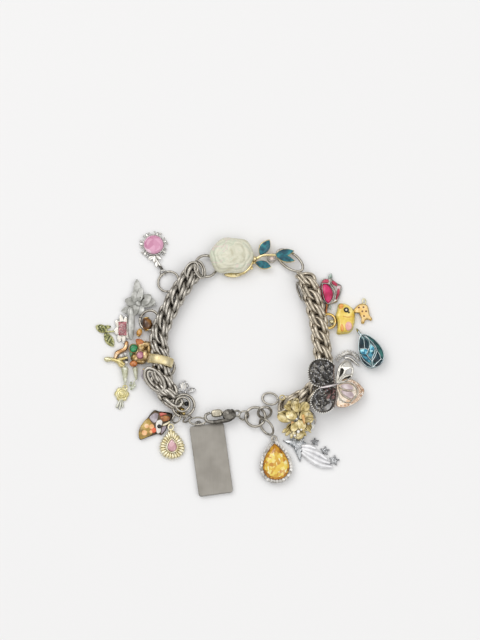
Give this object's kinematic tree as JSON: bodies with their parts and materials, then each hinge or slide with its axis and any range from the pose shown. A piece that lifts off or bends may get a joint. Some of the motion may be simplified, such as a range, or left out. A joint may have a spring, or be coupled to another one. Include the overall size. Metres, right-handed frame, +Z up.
{
  "type": "charm bracelet",
  "caption": "Charm bracelet lying flat: a thick silver double-link chain in an open ring with a lobster clasp, hung with gold, enamel, pearl and gem charms and a plain steel tag.",
  "frame": {"origin": "centre of the bracelet's box at its underside, on the surface it lies on", "axes": "+Z up from the surface, +X across the bracelet towards the butterfly, +Y towards the rose, away from the clasp and the tag"},
  "size_m": [0.1264, 0.1174, 0.0116],
  "materials": {
    "silver": "polished silver, warm grey, darker in its hollows",
    "bright_silver": "bright silver, partly dot-textured or set with small clear stones",
    "dark_silver": "blackened silver with small dark stones",
    "steel": "fine matte brushed steel",
    "gold": "polished yellow gold plate",
    "pale_gold": "satin pale gold plate",
    "mother_of_pearl": "carved mother-of-pearl with a soft sheen",
    "pearl": "pearl",
    "pink_stone": "smooth glossy pink stone",
    "pale_pink_stone": "smooth pale pink stone",
    "citrine": "clear faceted orange-yellow stone",
    "green_stone": "clear green stone",
    "amber": "glossy brown amber",
    "lavender_stone": "glossy grey lavender stone",
    "cream_stone": "polished cream stone and small crystals",
    "teal_enamel": "glossy dark teal enamel cells between silver wires",
    "magenta_enamel": "glossy magenta enamel with pale metal outlines",
    "yellow_enamel": "glossy yellow, orange and pink enamel",
    "mixed_enamel": "enamel in orange, red, yellow and lavender between dark metal outlines",
    "green_pave": "small green stones set close together",
    "white_enamel": "white enamel petals round dark-pink stones"
  },
  "bodies": {
    "bracelet": {"rose_ring": "silver", "sun_ring": "silver", "oval_link": "silver", "stem_ring": "silver", "side_ring": "silver", "band_ring": "silver", "orchid_ring": "silver", "cluster_ring": "silver", "inner_ring": "silver", "pear_ring": "silver", "swivel_ring": "silver", "clasp_link": "silver", "clasp_ring": "silver", "end_ring": "silver", "chain_end_ring": "silver", "citrine_ring": "silver", "loose_ring": "silver", "hoop": "silver", "left_chain": "silver", "right_chain": "silver", "clasp_body": "silver", "citrine_frame": "silver", "sun_setting": "bright_silver", "orchid": "bright_silver", "pave_bow": "bright_silver", "shooting_star": "bright_silver", "pave_crescent": "bright_silver", "butterfly": "dark_silver", "dark_bead": "dark_silver", "steel_tag": "steel", "frog_ring": "gold", "rose_setting": "gold", "gem_setting": "gold", "medallion": "gold", "gold_bead": "gold", "pear_frame": "gold", "giraffe": "gold", "gold_twig": "pale_gold", "gold_band": "pale_gold", "fan_drop": "pale_gold", "gold_flower": "pale_gold", "rose_bloom": "mother_of_pearl", "rose_pearl": "pearl", "sun_stone": "pink_stone", "pear_stone": "pale_pink_stone", "pink_gem": "pale_pink_stone", "citrine_stone": "citrine", "green_gem": "green_stone", "amber_bead_1": "amber", "amber_bead_2": "amber", "lavender_bead": "lavender_stone", "crystal_drop": "cream_stone", "cream_stone": "cream_stone", "teardrop": "teal_enamel", "tulip": "magenta_enamel", "frog": "yellow_enamel", "bird": "mixed_enamel", "leaf_spray": "green_pave", "daisy": "white_enamel"},
    "lever": {"clasp_lever": "steel"}
  },
  "joints": [
    {"name": "lever_hinge", "type": "hinge", "parent": "bracelet", "child": "lever", "pos_m": [-0.00583, -0.02265, 0.0039], "axis": [0, 0, 1], "range_deg": [0, 10], "stiffness_Nm_per_rad": 0.01}
  ]
}
